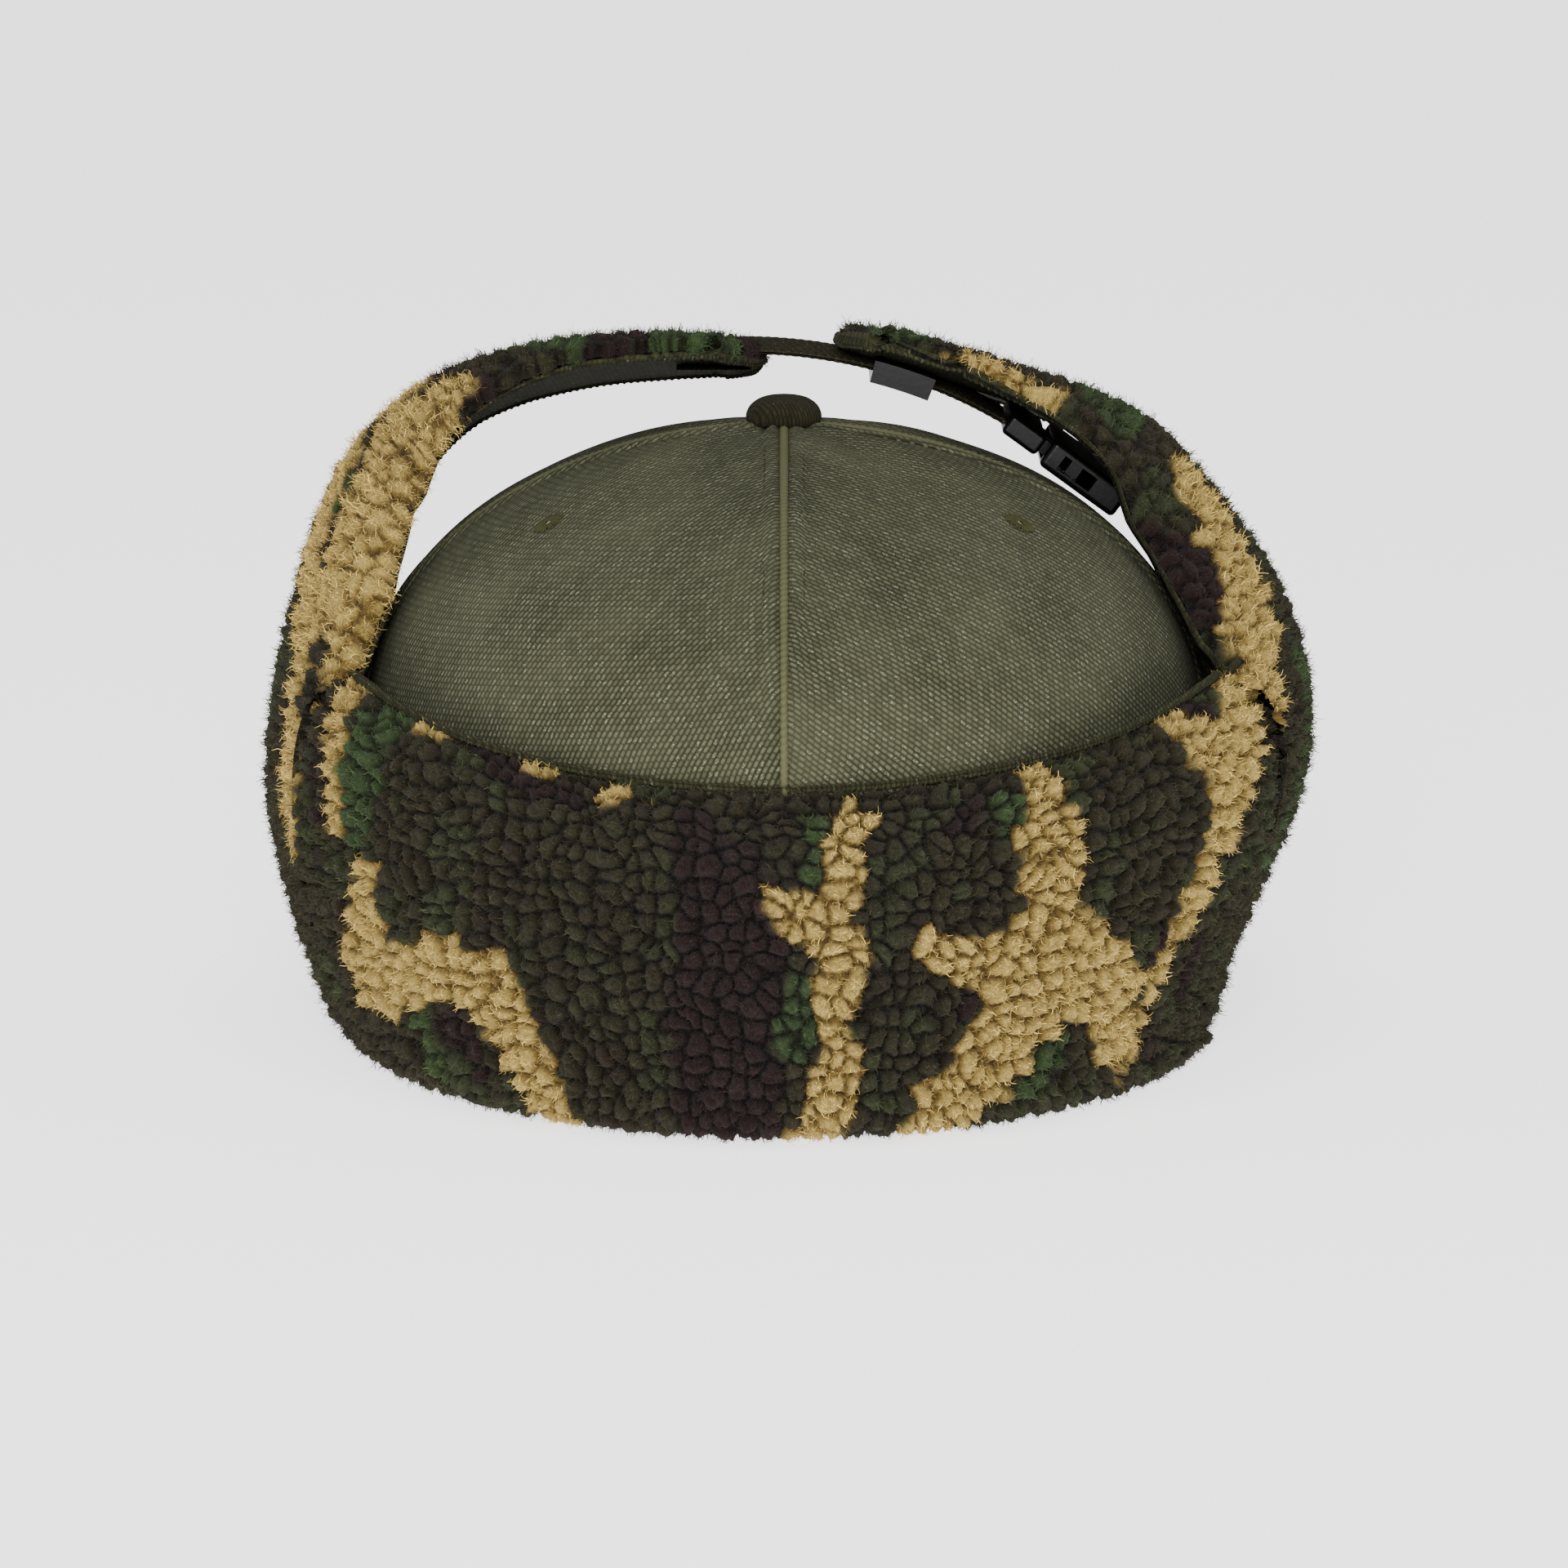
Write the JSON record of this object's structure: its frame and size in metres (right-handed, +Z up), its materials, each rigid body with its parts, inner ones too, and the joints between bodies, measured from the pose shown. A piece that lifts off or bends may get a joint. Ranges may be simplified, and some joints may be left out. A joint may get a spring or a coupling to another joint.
{
  "type": "trapper hat",
  "caption": "Twill cap with a curly-pile cuff folded up all round; its ear flaps meet over the crown and are buckled there by a webbing chin strap.",
  "frame": {"origin": "middle of the head opening, in the plane that the rolled rim rests on", "axes": "+Z up, +Y to the back of the head, +X to the wearer's left; the visor points to -Y"},
  "size_m": [0.2156, 0.2809, 0.1486],
  "materials": {
    "olive_twill": "brushed heathered olive twill, diagonal ribs, matt",
    "olive_lining": "plain olive twill lining, matt",
    "camo_pile": "camouflage-coloured curly pile, matt",
    "webbing": "dark olive-brown woven webbing",
    "buckle_plastic": "black moulded plastic, semi-gloss",
    "thread": "olive sewing thread",
    "button_cloth": "dark olive twill drawn tight",
    "sweatband_cloth": "dark olive cotton band",
    "buckram": "stiff off-white open-weave backing",
    "visor_board": "bent white sheet plastic",
    "rivet": "plain rivet"
  },
  "bodies": {
    "crown": {"crown_panel_back_left": "olive_twill", "crown_panel_back_right": "olive_twill", "crown_panel_front_left": "olive_twill", "crown_panel_front_right": "olive_twill", "seam_tapes": "olive_lining", "front_backing": "buckram", "sweatband": "sweatband_cloth", "eyelets": "thread", "top_button": "button_cloth", "button_rivet": "rivet", "visor_board": "visor_board", "visor_top_cloth": "olive_twill", "visor_under_cloth": "olive_lining", "rim_roll": "camo_pile"},
    "left_ear": {"left_ear_pile": "camo_pile", "left_ear_lining": "olive_lining"},
    "left_shoulder": {"left_shoulder_pile": "camo_pile", "left_shoulder_lining": "olive_lining"},
    "left_tip": {"left_tip_pile": "camo_pile", "left_tip_lining": "olive_lining", "chin_strap_long": "webbing", "strap_patch_left": "olive_lining", "buckle_male": "buckle_plastic"},
    "slider": {"strap_slider": "buckle_plastic"},
    "prong_rear": {"buckle_prong_rear": "buckle_plastic"},
    "prong_front": {"buckle_prong_front": "buckle_plastic"},
    "right_ear": {"right_ear_pile": "camo_pile", "right_ear_lining": "olive_lining"},
    "right_shoulder": {"right_shoulder_pile": "camo_pile", "right_shoulder_lining": "olive_lining", "chin_strap_short": "webbing", "strap_patch_right": "olive_lining", "buckle_female": "buckle_plastic"},
    "right_tip": {"right_tip_pile": "camo_pile", "right_tip_lining": "olive_lining"},
    "neck_left": {"back_left_pile": "camo_pile", "back_left_lining": "olive_lining"},
    "neck_middle": {"back_middle_pile": "camo_pile", "back_middle_lining": "olive_lining"},
    "neck_right": {"back_right_pile": "camo_pile", "back_right_lining": "olive_lining"}
  },
  "joints": [
    {"name": "left_ear_fold", "type": "hinge", "parent": "crown", "child": "left_ear", "pos_m": [0.088, -0.01, 0.006], "axis": [0, 1, 0], "range_deg": [0, 178]},
    {"name": "left_shoulder_unroll", "type": "hinge", "parent": "left_ear", "child": "left_shoulder", "pos_m": [0.1043, -0.014, 0.0865], "axis": [0, 1, 0], "range_deg": [0, 35]},
    {"name": "left_tip_unroll", "type": "hinge", "parent": "left_shoulder", "child": "left_tip", "pos_m": [0.0801, -0.025, 0.1285], "axis": [0, 1, 0], "range_deg": [0, 50]},
    {"name": "right_ear_fold", "type": "hinge", "parent": "crown", "child": "right_ear", "pos_m": [-0.088, -0.01, 0.006], "axis": [0, -1, 0], "range_deg": [0, 178]},
    {"name": "right_shoulder_unroll", "type": "hinge", "parent": "right_ear", "child": "right_shoulder", "pos_m": [-0.1043, -0.014, 0.0865], "axis": [0, -1, 0], "range_deg": [0, 35]},
    {"name": "right_tip_unroll", "type": "hinge", "parent": "right_shoulder", "child": "right_tip", "pos_m": [-0.0801, -0.025, 0.1285], "axis": [0, -1, 0], "range_deg": [0, 50]},
    {"name": "neck_left_fold", "type": "hinge", "parent": "crown", "child": "neck_left", "pos_m": [0.07131, 0.06155, 0.006], "axis": [-0.6534, 0.757, 0], "range_deg": [0, 178]},
    {"name": "neck_middle_fold", "type": "hinge", "parent": "crown", "child": "neck_middle", "pos_m": [0, 0.101, 0.006], "axis": [-1, 0, 0], "range_deg": [0, 178]},
    {"name": "neck_right_fold", "type": "hinge", "parent": "crown", "child": "neck_right", "pos_m": [-0.07131, 0.06155, 0.006], "axis": [-0.6534, -0.757, 0], "range_deg": [0, 178]},
    {"name": "slider_travel", "type": "hinge", "parent": "left_tip", "child": "slider", "pos_m": [0.00834, -0.03, 0.0305], "axis": [0, -1, 0], "range_deg": [-9, 7]},
    {"name": "prong_rear_squeeze", "type": "hinge", "parent": "left_tip", "child": "prong_rear", "pos_m": [-0.05346, -0.0224, 0.12034], "axis": [-0.5892, 0, 0.808], "range_deg": [0, 8], "stiffness_Nm_per_rad": 0.02},
    {"name": "prong_front_squeeze", "type": "hinge", "parent": "left_tip", "child": "prong_front", "pos_m": [-0.05346, -0.0376, 0.12034], "axis": [-0.5892, 0, 0.808], "range_deg": [-8, 0], "stiffness_Nm_per_rad": 0.02}
  ],
  "couplings": [
    {"joint": "left_shoulder_unroll", "follows": "left_ear_fold", "ratio": 0.1966},
    {"joint": "left_tip_unroll", "follows": "left_ear_fold", "ratio": 0.2808},
    {"joint": "right_ear_fold", "follows": "left_ear_fold", "ratio": 1},
    {"joint": "right_shoulder_unroll", "follows": "left_ear_fold", "ratio": 0.1966},
    {"joint": "right_tip_unroll", "follows": "left_ear_fold", "ratio": 0.2808},
    {"joint": "neck_left_fold", "follows": "left_ear_fold", "ratio": 1},
    {"joint": "neck_middle_fold", "follows": "left_ear_fold", "ratio": 1},
    {"joint": "neck_right_fold", "follows": "left_ear_fold", "ratio": 1},
    {"joint": "prong_front_squeeze", "follows": "prong_rear_squeeze", "ratio": -1}
  ]
}
